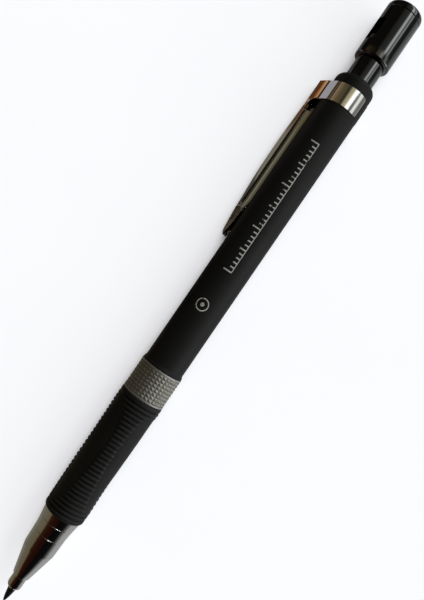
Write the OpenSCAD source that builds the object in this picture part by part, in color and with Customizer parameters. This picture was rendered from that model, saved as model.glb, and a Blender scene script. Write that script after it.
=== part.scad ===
// A 2 mm clutch pencil (lead holder) that lies on a table with its clip down to one side.
// Every piece is drawn upright, with its height measured from the lead's point,
// and is then laid along X with the writing point towards +X.
// The origin is on the pencil's axis, halfway along it, in the middle of the free shank.

/* [Overall layout] */
// Length of lead and clutch jaws that stands out of the nose cone
lead_out = 6.4; // [6.2:0.1:6.8]
// Length of the nose cone
nose_len = 15.2; // [15:0.1:15.6]
// Length of the grip sleeve
grip_len = 28; // [27.6:0.1:28.6]
// Length of the knurled ring
ring_len = 6.9; // [6.4:0.1:7.4]
// Length of the barrel
barrel_len = 69.1; // [66:0.1:72]
// Length of the push stem that shows between barrel and cap
neck_len = 4.6; // [4.2:0.1:5]
// Length of the push cap with its crown
cap_len = 12.8; // [12.7:0.1:13.4]

/* [Lead and clutch] */
// Diameter of the lead
lead_d = 2; // [1.9:0.02:2.02]
// Length of the sharpened point
point_len = 4.2; // [3.4:0.1:5]
// Length of the lead
lead_len = 120; // [90:1:124]
// Height of the front of the clutch jaws
jaw_z0 = 3.4; // [3.2:0.1:3.8]
// Width of the slit between two jaws
jaw_slit = 0.3; // [0.2:0.05:0.4]
// Outer diameter of the lead tube
tube_d = 3; // [2.9:0.05:3]

/* [Grip] */
// Diameter of the grip at its widest
grip_d = 9.52; // [9.4:0.02:9.6]
// Number of ring grooves
groove_count = 28; // [20:1:28]
// Depth of a ring groove
groove_depth = 0.24; // [0.1:0.02:0.26]
// Depth of the three smooth finger scoops
scoop_depth = 0.3; // [0.26:0.02:0.4]
// Turn of the finger scoops and of the jaws about the axis
grip_turn = 63; // [0:1:119]

/* [Barrel and clip] */
// Diameter of the barrel
barrel_d = 8.54; // [8.5:0.02:8.6]
// Bore of the barrel
barrel_bore_d = 6.84; // [6.84:0.02:6.9]
// Height of the clip band
band_len = 4.2; // [3.8:0.1:4.4]
// Direction of the clip about the axis, from straight up
clip_turn = -120; // [-126:1:-114]
// Gap between the band's two ends, seen from the axis
band_gap = 32; // [20:1:40]
// Thickness of the clip's sheet
sheet_t = 0.4; // [0.35:0.05:0.45]

/* [Push cap] */
// Diameter of the push stem
stem_d = 6; // [5.9:0.02:6]
// Diameter of the push cap
cap_d = 7.66; // [7.6:0.02:7.8]
// Height of the chip window
window_len = 5; // [4:0.1:5]
// Width of the chip window
window_w = 3.1; // [2.7:0.1:3.4]
// Direction of the chip window about the axis
window_turn = -69; // [-90:1:-60]

/* [Spring] */
// Turns of the return spring
spring_turns = 14; // [8:1:18]
// Diameter of the spring's wire
wire_d = 0.34; // [0.3:0.01:0.36]

/* [Hidden] */
$fn = 96;

// Colours
graphite = "#3a3a3d";
brass = "#c9a552";
steel = "#b8babd";
chrome = "#d8dadc";
rubber_black = "#232324";
barrel_black = "#2b2b2d";
gloss_black = "#151516";
ring_grey = "#9c9d9b";

// Heights of the joints between the pieces that show
nose_z0 = lead_out;
grip_z0 = nose_z0 + nose_len;
ring_z0 = grip_z0 + grip_len;
barrel_z0 = ring_z0 + ring_len;
neck_z0 = barrel_z0 + barrel_len;
cap_z0 = neck_z0 + neck_len;
end_z = cap_z0 + cap_len;
seam = 0.05;

// Radii that several pieces share
lead_r = lead_d / 2;
tube_r = tube_d / 2;
tube_bore_r = lead_r + 0.1;
barrel_r = barrel_d / 2;
barrel_bore_r = barrel_bore_d / 2;
stem_r = stem_d / 2;
cap_r = cap_d / 2;
grip_r = grip_d / 2;
fit = 0.02;

// Clutch: the jaws turn about their roots, and their cone sits in the nose cone's mouth
jaw_count = 3;
jaw_z1 = jaw_z0 + 20.6;
jaw_head_r = 1.5;
jaw_waist_r = 1.275;
jaw_body_r = 1.62;
mouth_r = jaw_head_r + fit;
collet_z1 = jaw_z1 + 10;
socket_len = 4;
socket_r = 1.3;

// Front tube under the grip
core_z0 = nose_z0 + 8.4;
core_z1 = barrel_z0 + 9.5;
core_front_r = 2.9;
core_mid_r = 2.75;
core_rear_r = barrel_bore_r - fit;
guide_r = 1.75;
spring_room_r = 2;
collar_room_r = 2.2;
thread_pitch = 0.75;
thread_depth = 0.18;

// Spring and its two seats
washer_z0 = jaw_z1 + 2;
washer_t = 0.6;
collar_z0 = 45;
collar_t = 1.4;
push_travel = 3;
spring_z0 = washer_z0 + washer_t + seam;
spring_z1 = collar_z0 - seam;
coil_r = tube_r + 0.06 + wire_d / 2;
coil_steps = 14;
wire_sides = 6;

// Barrel top, stem and cap
shoulder_z = neck_z0 - 4.8;
shoulder_round = 1.4;
flange_len = 3.9;
tail_len = 5;
tail_r = 2.1;
spigot_len = 3.4;
spigot_r = 2.55;
tube_z1 = cap_z0 - 3.85;
band_z1 = neck_z0 - 2.9;
band_z0 = band_z1 - band_len;
band_r = barrel_r + 0.08;
band_in_r = band_r - 0.35;
crown_z0 = end_z - 1.6;
socket_top_z = cap_z0 + spigot_len + 0.1;
cap_room_r = cap_r - 0.48;
plug_len = 1.4;
window_z0 = cap_z0 + 3.3;

// Clip arm, as distances from the axis
arm_z1 = band_z0 - seam;
arm_z0 = arm_z1 - 32.75;
arm_gap = 0.18;
pad_gap = 0.03;
foot_z1 = arm_z0 + 2.1;
fold_r = 5.7;
fold_half_w = 1.55;
top_half_w = 0.75;
arm_top_r = 7.35;
root_half_angle = 66;

// Sharpener
sharp_entry_r = lead_r + 0.1;
sharp_tip_r = 0.12;
sharp_z0 = socket_top_z + seam;
sharp_z1 = crown_z0 - plug_len - seam;
sharp_cone_z0 = sharp_z0 + 1.2;
sharp_cone_z1 = sharp_z1 - 0.6;
blade_t = 0.35;

// Points of an arc about (cr, cz), as [radius from the axis, height]
function arc(cr, cz, r, a0, a1, n = 6) =
    [for (i = [0:n]) let (a = a0 + (a1 - a0) * i / n) [cr + r * cos(a), cz + r * sin(a)]];

// A V groove in an outline that runs upwards at radius r
function v_groove(r, z, w, d) = [[r, z - w / 2], [r - d, z], [r, z + w / 2]];

// The outline of a thread's ridges between two heights, drawn as rings
function thread(r, z0, z1) =
    [for (z = [z0 + thread_pitch / 2:thread_pitch:z1 - thread_pitch / 2])
        each v_groove(r, z, thread_pitch * 0.8, thread_depth)];

// From the upright drawing to the pencil's own frame
module lying() {
    translate([end_z / 2, 0, 0]) rotate([0, -90, 0]) children();
}

module turned(outline) {
    rotate_extrude() polygon(outline);
}

// A side view, drawn as [distance from the axis, height], made solid across the axis
module side_view(width) {
    rotate([90, 0, 0]) linear_extrude(width, center = true) children();
}

// A front view, drawn as [sideways, height], made solid away from the axis
module front_view(depth) {
    rotate([90, 0, 90]) linear_extrude(depth) children();
}

// A sector of the plane about angle 0, under 90 degrees each way
module sector(half_angle, reach = 12) {
    polygon([[0, 0], [reach * cos(half_angle), -reach * sin(half_angle)], [reach * 1.3, 0],
        [reach * cos(half_angle), reach * sin(half_angle)]]);
}

module lead() {
    steps = 10;
    sharpness = 0.56;
    end_chamfer = 0.15;
    point = [for (i = [0:steps]) [lead_r * pow(i / steps, sharpness), point_len * i / steps]];
    color(graphite) lying() turned(concat(point,
        [[lead_r, lead_len - end_chamfer], [lead_r - end_chamfer, lead_len], [0, lead_len]]));
}

// One third of the clutch: a springy finger that holds the lead
module jaw(index) {
    nip_r = lead_r + 0.03;
    nip_len = 6.3;
    head_round = 0.75;
    head_z = nose_z0;
    waist_z = nose_z0 + push_travel;
    outline = concat([[nip_r, jaw_z0]],
        arc(jaw_head_r - head_round, jaw_z0 + head_round, head_round, -60, 0),
        [[jaw_head_r, head_z], [jaw_waist_r, waist_z], [jaw_waist_r, waist_z + 1],
            [jaw_body_r, waist_z + 2.6], [jaw_body_r, jaw_z1 - 2], [tube_r, jaw_z1 - 1.4], [tube_r, jaw_z1],
            [tube_bore_r, jaw_z1], [tube_bore_r, jaw_z0 + nip_len + 0.3], [nip_r, jaw_z0 + nip_len]]);
    inner_edge = jaw_slit / 2 / sin(180 / jaw_count);
    color(brass) lying() rotate([0, 0, grip_turn + index * 360 / jaw_count]) intersection() {
        turned(outline);
        translate([inner_edge, 0, 0]) linear_extrude(jaw_z1 + 1) sector(180 / jaw_count);
    }
}

module jaw_1() {
    jaw(0);
}

module jaw_2() {
    jaw(1);
}

module jaw_3() {
    jaw(2);
}

module collet_body() {
    color(brass) lying() turned([[tube_bore_r, jaw_z1 + seam], [tube_r, jaw_z1 + seam], [tube_r, collet_z1],
        [socket_r, collet_z1], [socket_r, collet_z1 - socket_len], [tube_bore_r, collet_z1 - socket_len]]);
}

module lead_tube() {
    spigot = socket_r - fit / 2;
    color(brass) lying() turned([[tube_bore_r, collet_z1 - socket_len + seam],
        [spigot, collet_z1 - socket_len + seam], [spigot, collet_z1 + seam / 2],
        [tube_r, collet_z1 + seam / 2], [tube_r, tube_z1], [tube_bore_r, tube_z1]]);
}

module spring_collar() {
    r = collar_room_r - 0.06;
    color(brass) lying() turned([[tube_r, collar_z0], [r, collar_z0], [r, collar_z0 + collar_t - 0.2],
        [r - 0.2, collar_z0 + collar_t], [tube_r, collar_z0 + collar_t]]);
}

// A closed coil of round wire, swept ring by ring
module return_spring() {
    end_turns = 1.5;
    rise = spring_z1 - spring_z0 - wire_d;
    rings = spring_turns * coil_steps;
    close_rise = wire_d * end_turns * 1.05;
    z_keys = [[0, 0], [end_turns, close_rise], [spring_turns - end_turns, rise - close_rise],
        [spring_turns, rise]];
    points = [for (i = [0:rings])
        let (turn = i / coil_steps, z = spring_z0 + wire_d / 2 + lookup(turn, z_keys))
        for (k = [0:wire_sides - 1]) let (a = 360 * k / wire_sides, r = coil_r + wire_d / 2 * cos(a))
            [r * cos(360 * turn), r * sin(360 * turn), z + wire_d / 2 * sin(a)]];
    walls = [for (i = [0:rings - 1]) for (k = [0:wire_sides - 1])
        let (a = i * wire_sides + k, b = i * wire_sides + (k + 1) % wire_sides)
            each [[a, a + wire_sides, b + wire_sides], [a, b + wire_sides, b]]];
    first = [for (k = [0:wire_sides - 1]) k];
    last = [for (k = [wire_sides - 1:-1:0]) rings * wire_sides + k];
    color(steel) lying() polyhedron(points, concat(walls, [first, last]));
}

module spring_washer() {
    r = spring_room_r - fit;
    color(steel) lying() turned([[tube_r + 0.06, washer_z0 + fit], [r, washer_z0 + fit],
        [r, washer_z0 + washer_t], [tube_r + 0.06, washer_z0 + washer_t]]);
}

// Turned nose: a straight cone, a nearly straight band, then two flares marked by fine cut lines
module nose_cone() {
    rim_r = 1.83;
    cone_r = 3.35;
    line_w = 0.14;
    line_d = 0.07;
    wall = 0.3;
    outside = concat([[rim_r - 0.08, nose_z0], [rim_r, nose_z0 + 0.1], [cone_r, nose_z0 + 6.5],
        [cone_r + 0.09, nose_z0 + 9.5]],
        v_groove(3.48, nose_z0 + 10.35, line_w, line_d),
        [[3.63, nose_z0 + 11.9]],
        v_groove(3.91, nose_z0 + 13.4, line_w, line_d),
        [[4.05, grip_z0 - seam]]);
    inside = [[core_front_r + 0.05, grip_z0 - seam], [core_front_r + 0.05, core_z0 - 0.1],
        [2.2, core_z0 - 0.1], [2.2, nose_z0 + 3], [mouth_r + wall, nose_z0 + 1.9], [mouth_r, nose_z0 + 0.8],
        [mouth_r, nose_z0]];
    color(chrome) lying() turned(concat(outside, inside));
}

module grip_core() {
    step = 0.3;
    outside = concat([[guide_r, core_z0], [core_front_r - step, core_z0], [core_front_r, core_z0 + step]],
        thread(core_front_r, core_z0 + step, grip_z0 - 1.2),
        [[core_front_r, grip_z0 + step], [core_mid_r, grip_z0 + 2 * step], [core_mid_r, ring_z0],
            [core_rear_r, ring_z0]],
        thread(core_rear_r, barrel_z0 + 1.5, core_z1 - step),
        [[core_rear_r, core_z1 - step], [core_rear_r - step, core_z1]]);
    inside = [[collar_room_r, core_z1], [collar_room_r, collar_z0 - push_travel - seam],
        [spring_room_r, collar_z0 - push_travel - seam], [spring_room_r, washer_z0], [guide_r, washer_z0]];
    color(brass) lying() turned(concat(outside, inside));
}

// Soft sleeve: a gently waisted tube with ring grooves, and three smooth scoops that leave
// a strip of ribs between them, narrow in the middle and wide at both ends
module grip_sleeve() {
    bore_r = core_mid_r + fit;
    front_bore_r = core_front_r + fit;
    front_r = 4.15;
    first_groove = ring_z0 - 1.1;
    last_groove = grip_z0 + 1.15;
    pitch = (first_groove - last_groove) / (groove_count - 1);
    groove_w = pitch * 0.5;
    waist = [[grip_z0, front_r], [grip_z0 + 0.5, 4.4], [grip_z0 + 2.4, 4.47], [grip_z0 + 5.4, 4.5],
        [grip_z0 + 8, 4.56], [grip_z0 + 12, 4.65], [grip_z0 + 16, 4.73], [grip_z0 + 20, grip_r],
        [grip_z0 + 24, grip_r - 0.02], [ring_z0 - 1, 4.68], [ring_z0, 4.6]];
    grooves = [for (i = [0:groove_count - 1]) let (z = last_groove + i * pitch, r = lookup(z, waist))
        each [[lookup(z - groove_w / 2, waist), z - groove_w / 2], [r - groove_depth, z - groove_w / 4],
            [r - groove_depth, z + groove_w / 4], [lookup(z + groove_w / 2, waist), z + groove_w / 2]]];
    half_plan = [[0.8, grip_z0 + 2], [1.6, grip_z0 + 2.9], [2.2, grip_z0 + 4.4], [2.6, grip_z0 + 6.6],
        [3, grip_z0 + 9.6], [3.3, grip_z0 + 13], [3.48, grip_z0 + 16.8], [3.35, grip_z0 + 20.8],
        [3.15, grip_z0 + 23], [2.93, grip_z0 + 24.2], [2.46, grip_z0 + 25.1], [1.75, grip_z0 + 26],
        [0.9, grip_z0 + 26.8]];
    plan = concat(half_plan, [for (i = [len(half_plan) - 1:-1:0]) [-half_plan[i][0], half_plan[i][1]]]);
    depths = [[grip_z0, 0], [grip_z0 + 2, 0.02], [grip_z0 + 4, 0.7 * scoop_depth], [grip_z0 + 8, scoop_depth],
        [grip_z0 + 15, scoop_depth], [grip_z0 + 22, 0.9 * scoop_depth], [grip_z0 + 25, 0.8 * scoop_depth],
        [grip_z0 + 26.8, 0.02], [ring_z0, 0]];
    floor_steps = 16;
    floor_line = [for (i = [0:floor_steps]) let (z = grip_z0 + 1 + (grip_len - 1) * i / floor_steps)
        [lookup(z, waist) - lookup(z, depths), z]];
    color(rubber_black) lying() difference() {
        turned(concat([[front_bore_r, grip_z0], [front_r, grip_z0], [4.4, grip_z0 + 0.5]], grooves,
            [[lookup(ring_z0, waist), ring_z0 - seam], [bore_r, ring_z0 - seam], [bore_r, grip_z0 + 0.7],
                [front_bore_r, grip_z0 + 0.4]]));
        for (i = [0:2]) {
            rotate([0, 0, grip_turn + 120 * i]) difference() {
                front_view(grip_r + 1) polygon(plan);
                turned(concat([[0, grip_z0 + 1]], floor_line, [[0, ring_z0]]));
            }
        }
    }
}

module knurled_ring() {
    r = 4.59;
    rows = 8;
    rim = 0.45;
    pitch = (ring_len - 2 * seam - 2 * rim) / rows;
    groove = 0.14;
    rings = [for (i = [0:rows]) each v_groove(r, ring_z0 + seam + rim + i * pitch, groove * 2, groove)];
    color(ring_grey) lying() turned(concat([[core_rear_r + fit, ring_z0 + seam], [r - 0.1, ring_z0 + seam],
        [r, ring_z0 + seam + 0.1]], rings,
        [[r, barrel_z0 - seam - 0.1], [r - 0.1, barrel_z0 - seam], [core_rear_r + fit, barrel_z0 - seam]]));
}

// Tube with a flared front, a rounded top shoulder and a shallow seat for the clip band
module barrel() {
    flare_len = 0.8;
    key_half_angle = band_gap / 2 - 0.5;
    seat_play = 0.1;
    color(barrel_black) lying() difference() {
        turned(concat([[barrel_bore_r, barrel_z0], [4.5, barrel_z0], [4.5, barrel_z0 + 0.15],
            [barrel_r, barrel_z0 + flare_len]],
            arc(barrel_r - shoulder_round, neck_z0 - shoulder_round, shoulder_round, 0, 75, 8),
            [[stem_r + 0.05, neck_z0], [stem_r + 0.05, shoulder_z], [barrel_bore_r, shoulder_z]]));
        difference() {
            translate([0, 0, band_z0 - seat_play]) cylinder(h = band_len + 2 * seat_play, r = band_r + 1);
            translate([0, 0, band_z0 - 1]) cylinder(h = band_len + 2, r = band_in_r - fit);
            translate([0, 0, band_z0 - 1]) rotate([0, 0, clip_turn + 180]) linear_extrude(band_len + 2)
                sector(key_half_angle);
        }
    }
}

// Sheet band that grips the barrel, and the folded box from which the arm grows
module clip_band() {
    fold = [4.03, 2.88];
    crest = [6.72, 1.2];
    start = [band_r * cos(root_half_angle), band_r * sin(root_half_angle)];
    inner_fold = fold - [0.28, 0.33];
    inner_crest = crest - [sheet_t, 0.25];
    inner_start = [(band_in_r + 0.03) * cos(root_half_angle), (band_in_r + 0.03) * sin(root_half_angle)];
    below = 2;
    lap_angle = 5;
    color(chrome) lying() rotate([0, 0, clip_turn]) translate([0, 0, band_z0]) union() {
        difference() {
            cylinder(h = band_len, r = band_r);
            translate([0, 0, -1]) cylinder(h = band_len + 2, r = band_in_r);
            translate([0, 0, -1]) linear_extrude(band_len + 2) sector(root_half_angle - lap_angle);
            translate([0, 0, -1]) rotate([0, 0, 180]) linear_extrude(band_len + 2) sector(band_gap / 2);
        }
        difference() {
            linear_extrude(band_len) polygon([start, fold, crest, [crest[0], -crest[1]],
                [fold[0], -fold[1]], [start[0], -start[1]]]);
            translate([0, 0, -1]) linear_extrude(band_len + 2) polygon([inner_start, inner_fold, inner_crest,
                [inner_crest[0], -inner_crest[1]], [inner_fold[0], -inner_fold[1]],
                [inner_start[0], -inner_start[1]], [-below, -inner_start[1]], [-below, inner_start[1]]]);
            translate([0, 0, -1]) cylinder(h = band_len + 2, r = band_in_r);
        }
    }
}

// Folded channel that lies along the barrel, lifts like a ski near its tip, and touches with a small foot
module clip_arm() {
    tip = arm_z0;
    crest = [[6.8, arm_z1], [7.1, arm_z1 - 4.4], [7.24, arm_z1 - 8.4], [7.3, arm_z1 - 12.4],
        [7.26, arm_z1 - 16.4], [7.16, tip + 13.3], [7.02, tip + 10.3], [6.88, tip + 8.3],
        [6.64, tip + 5.8], [6.3, tip + 2.8], [5.96, tip + 0.3], [5.7, tip]];
    keel = [[5.3, tip + 0.1], [4.95, tip + 1.3], [4.6, tip + 3.3], [4.2, tip + 5.8], [4, tip + 6.5],
        [4, arm_z1]];
    half_plan = [[0.3, tip - 0.1], [0.62, tip + 0.5], [1, tip + 2.8], [1.4, tip + 5.6], [1.55, tip + 9],
        [1.75, arm_z1 + 0.1]];
    plan = concat(half_plan, [for (i = [len(half_plan) - 1:-1:0]) [-half_plan[i][0], half_plan[i][1]]]);
    section = [[3.5, -fold_half_w], [fold_r, -fold_half_w], [arm_top_r, -top_half_w],
        [arm_top_r, top_half_w], [fold_r, fold_half_w], [3.5, fold_half_w]];
    inner_section = [[3, sheet_t - fold_half_w], [fold_r - 0.12, sheet_t - fold_half_w],
        [arm_top_r - sheet_t, 0.15 - top_half_w], [arm_top_r - sheet_t, top_half_w - 0.15],
        [fold_r - 0.12, fold_half_w - sheet_t], [3, fold_half_w - sheet_t]];
    hollow = concat([for (i = [0:7]) [crest[i][0] - sheet_t, crest[i][1]]],
        [[4.3, tip + 6.8], [3, tip + 6.8], [3, arm_z1 + 1], [crest[0][0] - sheet_t, arm_z1 + 1]]);
    notch_len = 3;
    web_in_r = crest[0][0] - sheet_t - 0.05;
    foot_r = 0.8;
    color(chrome) lying() rotate([0, 0, clip_turn]) difference() {
        union() {
            intersection() {
                side_view(2 * fold_half_w + 1) polygon(concat(crest, keel));
                translate([0, 0, tip - 1]) linear_extrude(arm_z1 - tip + 2) polygon(section);
                front_view(arm_top_r + 1) polygon(plan);
            }
            translate([barrel_r + pad_gap + foot_r, 0, tip + foot_r + 0.4]) sphere(r = foot_r, $fn = 24);
        }
        intersection() {
            side_view(2 * fold_half_w) polygon(hollow);
            translate([0, 0, tip]) linear_extrude(arm_z1 - tip + 2) polygon(inner_section);
        }
        side_view(2 * fold_half_w + 2) polygon([[3, arm_z1 - notch_len], [4.6, arm_z1 - notch_len],
            [fold_r + 0.45, arm_z1 - notch_len - 0.5], [web_in_r, arm_z1 - notch_len + 1.4],
            [web_in_r, arm_z1 + 1], [3, arm_z1 + 1]]);
        translate([0, 0, foot_z1]) cylinder(h = arm_z1 - foot_z1 + 1, r = barrel_r + arm_gap);
    }
}

// Slides in the barrel's top; its flange stops under the shoulder and its spigot holds the cap
module push_stem() {
    flange_r = barrel_bore_r - 0.06;
    stop_z = shoulder_z - seam;
    bead = 0.03;
    waist_r = spigot_r - 0.12;
    flange_z = stop_z - flange_len;
    color(gloss_black) lying() turned([[tube_r, flange_z - tail_len], [tail_r, flange_z - tail_len],
        [tail_r, flange_z], [flange_r, flange_z], [flange_r, stop_z], [stem_r, stop_z], [stem_r, cap_z0 - seam],
        [waist_r, cap_z0 - seam], [waist_r, cap_z0 + 1.4], [spigot_r + bead, cap_z0 + 2], [waist_r, cap_z0 + 2.6],
        [spigot_r - 0.2, cap_z0 + spigot_len], [tube_bore_r, cap_z0 + spigot_len],
        [tube_bore_r, tube_z1 + seam], [tube_r, tube_z1 + seam]]);
}

// Hollow push cap with a chip window in its side
module push_cap() {
    foot_round = 0.5;
    color(gloss_black) lying() difference() {
        turned(concat([[spigot_r + 0.06, cap_z0]],
            arc(cap_r - foot_round, cap_z0 + foot_round, foot_round, -90, 0),
            [[cap_r, crown_z0 - 0.12], [cap_r - 0.1, crown_z0 - fit], [cap_room_r, crown_z0 - fit],
                [cap_room_r, socket_top_z], [spigot_r + 0.06, socket_top_z]]));
        rotate([0, 0, window_turn]) translate([cap_room_r / 2, -window_w / 2, window_z0])
            cube([cap_r, window_w, window_len]);
    }
}

module cap_crown() {
    edge_round = 0.85;
    plug_r = cap_room_r - fit;
    color(gloss_black) lying() turned(concat([[0, crown_z0 - plug_len], [plug_r, crown_z0 - plug_len],
        [plug_r, crown_z0 + fit], [cap_r - 0.1, crown_z0 + fit], [cap_r, crown_z0 + 0.12]],
        arc(cap_r - edge_round, end_z - edge_round, edge_round, 0, 90), [[0, end_z]]));
}

// Drum with a conical hole for the lead's point, cut open towards the window
module sharpener_body() {
    r = cap_room_r - fit;
    color(gloss_black) lying() difference() {
        turned([[sharp_entry_r, sharp_z0], [r, sharp_z0], [r, sharp_z1], [sharp_tip_r, sharp_z1],
            [sharp_tip_r, sharp_cone_z1], [sharp_entry_r, sharp_cone_z0]]);
        rotate([0, 0, window_turn]) side_view(window_w - 0.4) polygon([[sharp_entry_r + fit, sharp_cone_z0],
            [sharp_tip_r + fit, sharp_cone_z1], [cap_r, sharp_cone_z1], [cap_r, sharp_cone_z0]]);
    }
}

// Flat blade that lies along the cone, with its edge on the cone's centre line
module sharpener_blade() {
    half_w = window_w / 2 - 0.25;
    z0 = sharp_cone_z0 + 0.2;
    z1 = sharp_cone_z1 - 0.3;
    slope = (sharp_entry_r - sharp_tip_r) / (sharp_cone_z1 - sharp_cone_z0);
    foot_r = sharp_entry_r + 2 * fit - slope * (z0 - sharp_cone_z0);
    head_r = sharp_entry_r + 2 * fit - slope * (z1 - sharp_cone_z0);
    color(steel) lying() rotate([0, 0, window_turn]) translate([0, half_w / 2, 0]) side_view(half_w)
        polygon([[foot_r, z0], [foot_r + blade_t, z0], [head_r + blade_t, z1], [head_r, z1]]);
}

lead();
jaw_1();
jaw_2();
jaw_3();
collet_body();
lead_tube();
spring_collar();
return_spring();
spring_washer();
nose_cone();
grip_core();
grip_sleeve();
knurled_ring();
barrel();
clip_band();
clip_arm();
push_stem();
push_cap();
cap_crown();
sharpener_body();
sharpener_blade();
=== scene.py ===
import math

import bmesh
import bpy
from mathutils import Matrix, Vector


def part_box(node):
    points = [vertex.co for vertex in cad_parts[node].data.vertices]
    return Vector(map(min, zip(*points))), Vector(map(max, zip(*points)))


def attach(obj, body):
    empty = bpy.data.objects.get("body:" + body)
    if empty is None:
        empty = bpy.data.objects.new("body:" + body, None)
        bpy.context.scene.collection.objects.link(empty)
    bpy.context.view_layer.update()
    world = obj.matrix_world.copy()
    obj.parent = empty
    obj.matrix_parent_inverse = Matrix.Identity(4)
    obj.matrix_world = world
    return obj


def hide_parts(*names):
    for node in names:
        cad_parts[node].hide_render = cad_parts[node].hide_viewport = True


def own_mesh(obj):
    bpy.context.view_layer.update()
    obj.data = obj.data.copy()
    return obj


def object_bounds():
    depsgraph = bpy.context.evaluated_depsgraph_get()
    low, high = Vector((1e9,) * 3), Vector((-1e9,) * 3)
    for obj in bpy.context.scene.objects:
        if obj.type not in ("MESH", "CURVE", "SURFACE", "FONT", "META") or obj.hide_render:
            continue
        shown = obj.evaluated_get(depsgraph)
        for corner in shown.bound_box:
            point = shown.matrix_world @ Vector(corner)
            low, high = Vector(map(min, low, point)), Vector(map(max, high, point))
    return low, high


# A 2 mm clutch pencil that lies on a pale floor. Lengths in this script are in millimetres
# from the lead's point (the pencil lies along X with its point towards +X), and angles are
# in degrees about the axis, from straight up towards +Y.

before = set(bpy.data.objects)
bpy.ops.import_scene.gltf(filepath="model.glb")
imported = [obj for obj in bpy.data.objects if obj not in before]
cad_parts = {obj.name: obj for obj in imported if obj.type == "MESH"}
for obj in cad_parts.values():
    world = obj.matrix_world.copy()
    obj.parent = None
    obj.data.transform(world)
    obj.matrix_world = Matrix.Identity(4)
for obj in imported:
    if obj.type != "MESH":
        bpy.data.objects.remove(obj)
cad_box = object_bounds()

MM = 0.001
HALF = cad_box[1].x         # x of the lead's point in metres: the origin is halfway along the pencil
CLIP_TURN = -120            # angle of the clip's middle
GRIP_TURN = 63              # angle of the first jaw and of the grip's first scoop
VIEW_TURN = -5              # angle of the camera
BARREL_R, BARREL_BORE = 4.27, 3.42
CAP_R, CAP_ROOM = 3.83, 3.35
# Section of the box that carries the clip's arm, as (u, v) of clip_point: its crest, its two folds,
# and the angle from the clip's middle at which it meets the barrel.
BOX_CREST, BOX_FOLD, BOX_ROOT_ANGLE = (6.72, 1.2), ((4.23, 2.8), (3.79, 2.91)), 66.7


def span(node):
    """Where a CAD node starts and ends along the pencil, in mm from the lead's point."""
    lo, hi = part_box(node)
    return (HALF - hi.x) / MM, (HALF - lo.x) / MM


def at(length, radius, angle):
    """The place of a point given by its length, its distance from the axis and its angle."""
    a = math.radians(angle)
    return (HALF - length * MM, radius * MM * math.sin(a), radius * MM * math.cos(a))


def turned(length, u, v, turn):
    """The place of a point at u mm from the axis in the direction turn, and v mm sideways from there."""
    a = math.radians(turn)
    y = u * math.sin(a) + v * math.cos(a)
    z = u * math.cos(a) - v * math.sin(a)
    return (HALF - length * MM, y * MM, z * MM)


def clip_point(length, u, v):
    """A point given by its distance from the axis towards the clip, and its distance sideways."""
    return turned(length, u, v, CLIP_TURN)


def lookup(x, table):
    """Straight-line interpolation in pairs of (x, y)."""
    if x <= table[0][0]:
        return table[0][1]
    for (x0, y0), (x1, y1) in zip(table, table[1:]):
        if x <= x1:
            return y0 + (y1 - y0) * (x - x0) / (x1 - x0)
    return table[-1][1]


def smooth(x, a, b):
    """0 up to a and 1 from b, with an even passage between them."""
    t = min(1.0, max(0.0, (x - a) / (b - a)))
    return t * t * (3 - 2 * t)


def soft_lookup(x, table, reach):
    """The same interpolation with its corners rounded over a short reach."""
    steps = (-1, -0.5, 0, 0.5, 1)
    return sum(lookup(x + reach * s, table) for s in steps) / len(steps)


def arc(cl, cr, r, a0, a1, n=6):
    """Points (length, radius) of an arc; angle 0 points outwards and 90 to the button."""
    out = []
    for i in range(n + 1):
        a = math.radians(a0 + (a1 - a0) * i / n)
        out.append((cl + r * math.sin(a), cr + r * math.cos(a)))
    return out


# ---------------------------------------------------------------- meshes

def new_object(name, verts, faces):
    """A mesh object without double points and with its normals outwards."""
    mesh = bpy.data.meshes.new(name)
    mesh.from_pydata(verts, [], faces)
    bm = bmesh.new()
    bm.from_mesh(mesh)
    bmesh.ops.remove_doubles(bm, verts=bm.verts, dist=1e-8)
    bmesh.ops.recalc_face_normals(bm, faces=bm.faces)
    bm.to_mesh(mesh)
    bm.free()
    obj = bpy.data.objects.new(name, mesh)
    bpy.context.scene.collection.objects.link(obj)
    return obj


def shade(mesh, angle):
    """Smooth shading that keeps the edges that turn by more than angle."""
    for p in mesh.polygons:
        p.use_smooth = True
    mesh.set_sharp_from_angle(angle=math.radians(angle))


def piece(name, verts, faces, body, slot, stands_for=(), angle=32, paint=None):
    """A visible piece that rides on a CAD body. Its paint has the slot's name unless told otherwise."""
    obj = new_object(name, verts, faces)
    shade(obj.data, angle)
    obj.data.materials.append(MATS[paint or slot])
    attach(obj, body)
    if stands_for:
        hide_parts(*stands_for)
    return obj


def ring_faces(rows, cols, closed_rows, closed_cols=True):
    """Quads between neighbours in a grid of points that was listed row by row."""
    faces = []
    for i in range(rows if closed_rows else rows - 1):
        for k in range(cols if closed_cols else cols - 1):
            a, b = i * cols + k, i * cols + (k + 1) % cols
            c, d = ((i + 1) % rows) * cols + (k + 1) % cols, ((i + 1) % rows) * cols + k
            faces.append((a, b, c, d))
    return faces


def lathe(profile, segments=128, closed=True):
    """Points and faces of an outline of (length, radius) turned about the axis."""
    verts = [at(l, r, 360 * k / segments) for l, r in profile for k in range(segments)]
    return verts, ring_faces(len(profile), segments, closed)


def bevel(obj, width, segments, angle):
    """Rounds the edges that turn by more than angle, by a modifier."""
    m = obj.modifiers.new("soft_edges", "BEVEL")
    m.width = width * MM
    m.segments = segments
    m.limit_method = "ANGLE"
    m.angle_limit = math.radians(angle)
    m.harden_normals = True


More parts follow.
